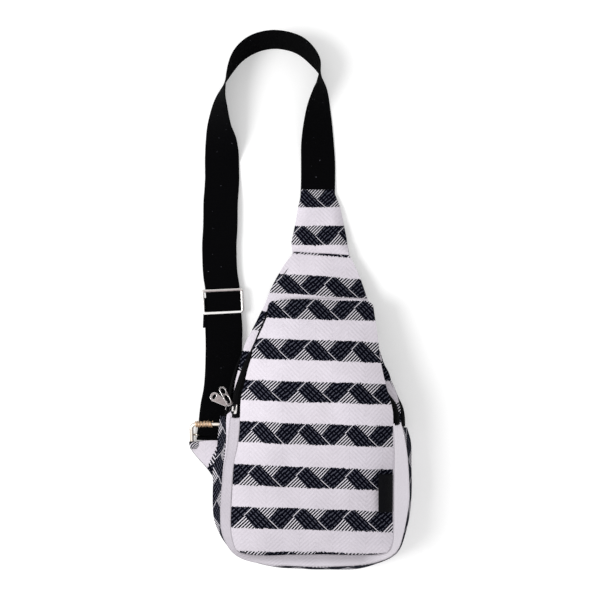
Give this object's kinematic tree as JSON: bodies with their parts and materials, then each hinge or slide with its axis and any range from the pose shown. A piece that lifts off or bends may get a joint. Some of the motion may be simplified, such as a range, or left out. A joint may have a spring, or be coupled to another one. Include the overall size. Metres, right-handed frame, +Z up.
{
  "type": "sling bag",
  "caption": "Striped woven cloth sling bag with a zipped main compartment, a zipped front pocket and an adjustable webbing strap.",
  "frame": {"origin": "centre of the bounding box in plan, on the floor under the bag's back", "axes": "+Z is up out of the bag's back to its front, +Y runs from the bag's bottom to the strap's far end, +X is to the right seen from the front"},
  "size_m": [0.2446, 0.5818, 0.0746],
  "materials": {
    "striped_cloth": "woven cotton, off-white with dark zigzag bands",
    "off_white_cloth": "woven cotton, off-white",
    "dark_cloth": "woven cotton, the dark band of the same cloth",
    "zip_tape": "black polyester zip tape and coil",
    "label": "black woven label, left bare",
    "webbing": "black ribbed webbing",
    "nickel": "polished nickel plate",
    "old_gold": "antique gold plate, a little worn"
  },
  "bodies": {
    "bag": {"back_panel": "striped_cloth", "main_bottom_gusset": "dark_cloth", "main_side_gusset": "dark_cloth", "main_zip_back_tape": "zip_tape", "main_zip_front_tape": "zip_tape", "main_front_panel": "striped_cloth", "pocket_bottom_gusset": "off_white_cloth", "pocket_zip_back_tape": "zip_tape", "pocket_zip_front_tape": "zip_tape", "pocket_front_panel": "striped_cloth", "woven_label": "label", "neck_back": "striped_cloth", "neck_front": "striped_cloth", "strap_webbing": "webbing", "strap_buckle": "old_gold", "side_wing": "off_white_cloth"},
    "main_slider": {"main_zip_slider": "nickel"},
    "main_pull": {"main_zip_pull": "nickel"},
    "pocket_slider": {"pocket_zip_slider": "nickel"},
    "pocket_pull": {"pocket_zip_pull": "nickel"},
    "adjuster": {"strap_slide": "nickel", "strap_sewn_end": "webbing"}
  },
  "joints": [
    {"name": "main_slider_slide", "type": "slide", "parent": "bag", "child": "main_slider", "axis": [0.2377, 0.9697, -0.0556], "range_m": [0, 0.036]},
    {"name": "main_pull_hinge", "type": "hinge", "parent": "main_slider", "child": "main_pull", "pos_m": [-0.07863, -0.11764, 0.02744], "axis": [0.5243, 0.6296, 0.5734], "range_deg": [-30, 60]},
    {"name": "pocket_slider_slide", "type": "slide", "parent": "bag", "child": "pocket_slider", "axis": [0.0867, 0.9827, -0.1638], "range_m": [0, 0.019]},
    {"name": "pocket_pull_hinge", "type": "hinge", "parent": "pocket_slider", "child": "pocket_pull", "pos_m": [-0.07018, -0.11613, 0.04734], "axis": [0.7254, 0.5603, 0.3998], "range_deg": [-8, 110]},
    {"name": "adjuster_slide", "type": "slide", "parent": "bag", "child": "adjuster", "axis": [0, 1, 0], "range_m": [-0.07, 0.09]}
  ]
}
